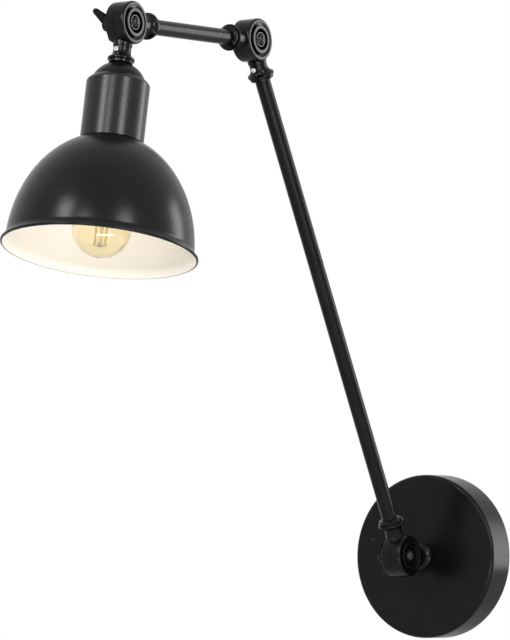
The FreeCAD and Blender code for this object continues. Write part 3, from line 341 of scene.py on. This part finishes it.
def on_head(shape):
    """Move a mesh modelled down the head's axis from the head's pivot to its place."""
    place = Matrix.Translation(pivot("head_pivot")) @ Matrix.Rotation(HEAD_ANGLE, 4, "X")
    bmesh.ops.transform(shape, matrix=place, verts=shape.verts)


def spin_outline(shape, outline, segments, material=0):
    """Turn an open outline of (radius, height) points once about Z."""
    known = set(shape.faces)
    points = [shape.verts.new((radius, 0.0, height)) for radius, height in outline]
    edges = [shape.edges.new(pair) for pair in zip(points, points[1:])]
    bmesh.ops.spin(shape, geom=points + edges, axis=(0, 0, 1), cent=(0, 0, 0), angle=2 * math.pi,
                   steps=segments, use_merge=True)
    for face in set(shape.faces) - known:
        face.material_index = material


def finished(name, shape, materials):
    """Close a mesh's seams, point it outwards and make it an object with these materials."""
    bmesh.ops.remove_doubles(shape, verts=shape.verts, dist=WELD_DISTANCE)
    bmesh.ops.recalc_face_normals(shape, faces=shape.faces)
    for face in shape.faces:
        face.smooth = True
    for edge in shape.edges:
        if len(edge.link_faces) == 2 and edge.calc_face_angle(0.0) > SMOOTH_ANGLE:
            edge.smooth = False
    mesh = bpy.data.meshes.new(name)
    shape.to_mesh(mesh)
    shape.free()
    made = bpy.data.objects.new(name, mesh)
    bpy.context.scene.collection.objects.link(made)
    for material in materials:
        mesh.materials.append(material)
    return made


# ---------------------------------------------------------------- shade
def dome_points(sheet, first_radius, last_height, steps):
    """Points down the shade's dome, from a radius near its top to a height near its lip.

    Sheet is how far the points lie inside the dome's outer face.
    """
    radius, height = SHADE_RADIUS - sheet, SHADE_HEIGHT - sheet
    first = math.asin(first_radius / radius)
    last = math.acos((SHADE_CENTRE - last_height) / height)
    angles = [first + (last - first) * k / steps for k in range(steps + 1)]
    return [(radius * math.sin(a), SHADE_CENTRE - height * math.cos(a)) for a in angles]


def lip_points(start, end, steps):
    """Points down the flared lip: straight down at its start, turning outwards to its end."""
    across, down = end[0] - start[0], end[1] - start[1]
    shares = [k / steps for k in range(1, steps + 1)]
    return [(start[0] + across * share ** LIP_FLARE, start[1] + down * share) for share in shares]


def bead_points(first_angle, last_angle, steps):
    """Points round the rolled bead at the shade's edge."""
    step = (last_angle - first_angle) / steps
    angles = [math.radians(first_angle + step * k) for k in range(steps + 1)]
    return [(SHADE_BEAD_CENTRE[0] + SHADE_BEAD_RADIUS * math.cos(a),
             SHADE_BEAD_CENTRE[1] + SHADE_BEAD_RADIUS * math.sin(a)) for a in angles]


def shade_piece(black, white):
    """The shade: black outside and round its bead, white inside."""
    bead = bead_points(*SHADE_BEAD_ANGLES, BEAD_STEPS)
    outer = dome_points(0.0, SHADE_TOP_RADIUS, SHADE_FLARE_START, DOME_STEPS)
    outer += lip_points(outer[-1], bead[0], LIP_STEPS)
    top = outer[0][1]
    inner_top = top + SHADE_SHEET
    inner_share = (SHADE_CENTRE - inner_top) / (SHADE_HEIGHT - SHADE_SHEET)
    inner_radius = (SHADE_RADIUS - SHADE_SHEET) * math.sqrt(1 - inner_share ** 2)
    inner = dome_points(SHADE_SHEET, inner_radius, SHADE_FLARE_START, DOME_STEPS)
    inner += lip_points(inner[-1], bead[-1], LIP_STEPS)
    shape = bmesh.new()
    spin_outline(shape, [(SHADE_HOLE_RADIUS, inner_top), (SHADE_HOLE_RADIUS, top), *outer, *bead[1:]],
                 SHADE_SEGMENTS, 0)
    spin_outline(shape, [(SHADE_HOLE_RADIUS, inner_top), *inner], SHADE_SEGMENTS, 1)
    on_head(shape)
    return finished("shade", shape, [black, white])


def bulb_wires(metal):
    """Thin wires from the bulb's stem to the ends of its filaments."""
    shape = bmesh.new()
    for k in range(FILAMENT_COUNT):
        turn = Matrix.Rotation(math.radians(360 * (k + 0.5) / FILAMENT_COUNT), 4, "Z")
        for side in (-1, 1):
            wire = bmesh.ops.create_cone(shape, cap_ends=True, segments=WIRE_SEGMENTS, radius1=WIRE_RADIUS,
                                         radius2=WIRE_RADIUS, depth=WIRE_LENGTH)["verts"]
            height = FILAMENT_CENTRE + side * (FILAMENT_HALF_LENGTH + WIRE_RISE / 2)
            lean = Matrix.Rotation(math.radians(-side * WIRE_LEAN), 4, "Y")
            place = turn @ Matrix.Translation((WIRE_OFFSET, 0, height)) @ lean
            bmesh.ops.transform(shape, matrix=place, verts=wire)
    on_head(shape)
    return finished("bulb_wires", shape, [metal])


# ---------------------------------------------------------------- stage
def floor_material():
    """Pale floor that fades to the white background far from the lamp and isn't seen from below."""
    made = plain("pale_floor", Base_Color=(FLOOR_GREY, FLOOR_GREY, FLOOR_GREY, 1.0), Roughness=0.9,
                 Specular_IOR_Level=0.1)
    nodes, links = made.node_tree.nodes, made.node_tree.links
    shader = nodes["Principled BSDF"]
    output = nodes["Material Output"]
    place = nodes.new("ShaderNodeTexCoord")
    length = nodes.new("ShaderNodeVectorMath")
    length.operation = "LENGTH"
    links.new(place.outputs["Object"], length.inputs[0])
    white = nodes.new("ShaderNodeEmission")
    fade = nodes.new("ShaderNodeMixShader")
    share = ranged(made, length.outputs["Value"], 0.0, 1.0, FLOOR_FADE)
    links.new(share, fade.inputs["Fac"])
    links.new(shader.outputs["BSDF"], fade.inputs[1])
    links.new(white.outputs["Emission"], fade.inputs[2])
    below = nodes.new("ShaderNodeNewGeometry")
    clear = nodes.new("ShaderNodeBsdfTransparent")
    sided = nodes.new("ShaderNodeMixShader")
    links.new(below.outputs["Backfacing"], sided.inputs["Fac"])
    links.new(fade.outputs["Shader"], sided.inputs[1])
    links.new(clear.outputs["BSDF"], sided.inputs[2])
    links.new(sided.outputs["Shader"], output.inputs["Surface"])
    return made


def make_floor():
    shape = bmesh.new()
    bmesh.ops.create_circle(shape, cap_ends=True, segments=FLOOR_SEGMENTS, radius=FLOOR_RADIUS)
    bmesh.ops.translate(shape, verts=shape.verts, vec=(0, 0, FLOOR_HEIGHT))
    finished("floor", shape, [floor_material()])


def make_background():
    """Plain ambient light, and white where the camera, a gloss or a glass sees past the lamp."""
    world = bpy.data.worlds.new("studio")
    bpy.context.scene.world = world
    world.use_nodes = True
    nodes, links = world.node_tree.nodes, world.node_tree.links
    background = nodes["Background"]
    background.inputs["Color"].default_value = (1, 1, 1, 1)
    rays = nodes.new("ShaderNodeLightPath")
    seen = rays.outputs["Is Camera Ray"]
    for name in ("Is Glossy Ray", "Is Transmission Ray"):
        either = nodes.new("ShaderNodeMath")
        either.operation = "MAXIMUM"
        links.new(seen, either.inputs[0])
        links.new(rays.outputs[name], either.inputs[1])
        seen = either.outputs["Value"]
    level = nodes.new("ShaderNodeMapRange")
    level.inputs["To Min"].default_value = AMBIENT_LEVEL
    level.inputs["To Max"].default_value = 1.0
    links.new(seen, level.inputs["Value"])
    links.new(level.outputs["Result"], background.inputs["Strength"])


def soft_lamp(name, turn, lift, distance, size, radiance):
    """Rectangular soft light. Turn is degrees to the right of the camera, lift is degrees above level,
    and radiance is what its face gives off in watts per square metre and steradian."""
    azimuth = CAMERA_AZIMUTH + math.radians(turn)
    lift = math.radians(lift)
    away = Vector((math.sin(azimuth) * math.cos(lift), -math.cos(azimuth) * math.cos(lift), math.sin(lift)))
    light = bpy.data.lights.new(name, "AREA")
    light.shape = "RECTANGLE"
    light.size, light.size_y = size
    light.energy = radiance * math.pi * size[0] * size[1]
    lamp = bpy.data.objects.new(name, light)
    bpy.context.scene.collection.objects.link(lamp)
    lamp.location = LIGHT_AIM + away * distance
    lamp.rotation_euler = (-away).to_track_quat("-Z", "Y").to_euler()


def make_lamps():
    """Soft boxes to the left and right of the camera, one at the side and a low one in front."""
    soft_lamp("far_left_box", turn=-47, lift=33, distance=LAMP_DISTANCE, size=(0.6, 0.8), radiance=18)
    soft_lamp("near_left_box", turn=-19, lift=26, distance=LAMP_DISTANCE, size=(0.55, 0.75), radiance=11)
    soft_lamp("right_box", turn=33, lift=19, distance=LAMP_DISTANCE, size=(0.6, 1.0), radiance=15)
    soft_lamp("side_panel", turn=112, lift=4, distance=LAMP_DISTANCE, size=(0.7, 1.6), radiance=7.5)
    soft_lamp("low_panel", turn=12, lift=-29, distance=LOW_LAMP_DISTANCE, size=(1.4, 0.14), radiance=10)


def make_camera():
    """Camera at the photograph's viewing angle."""
    forward = Vector((-math.sin(CAMERA_AZIMUTH) * math.cos(CAMERA_ELEVATION),
                      math.cos(CAMERA_AZIMUTH) * math.cos(CAMERA_ELEVATION),
                      -math.sin(CAMERA_ELEVATION)))
    level = Vector((math.cos(CAMERA_AZIMUTH), math.sin(CAMERA_AZIMUTH), 0.0))
    upright = level.cross(forward)
    right = level * math.cos(CAMERA_ROLL) + upright * math.sin(CAMERA_ROLL)
    up = upright * math.cos(CAMERA_ROLL) - level * math.sin(CAMERA_ROLL)
    place = CAMERA_AIM + right * CAMERA_SLIDE_RIGHT + up * CAMERA_SLIDE_UP - forward * CAMERA_DISTANCE
    data = bpy.data.cameras.new("camera")
    data.lens = CAMERA_LENS
    camera = bpy.data.objects.new("camera", data)
    bpy.context.scene.collection.objects.link(camera)
    turned = Matrix((right, up, -forward)).transposed().to_4x4()
    camera.matrix_world = Matrix.Translation(place) @ turned
    bpy.context.scene.camera = camera


make_camera()
make_background()
make_floor()
make_lamps()
bpy.context.scene.view_settings.view_transform = "Standard"

materials = finishes()
dress_nodes(materials)

shade = shade_piece(materials["shade_enamel"], shade_inside())
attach(shade, "lamp_head")
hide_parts("lamp_shade")

wires = bulb_wires(materials["bulb_cap_metal"])
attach(wires, "lamp_head")
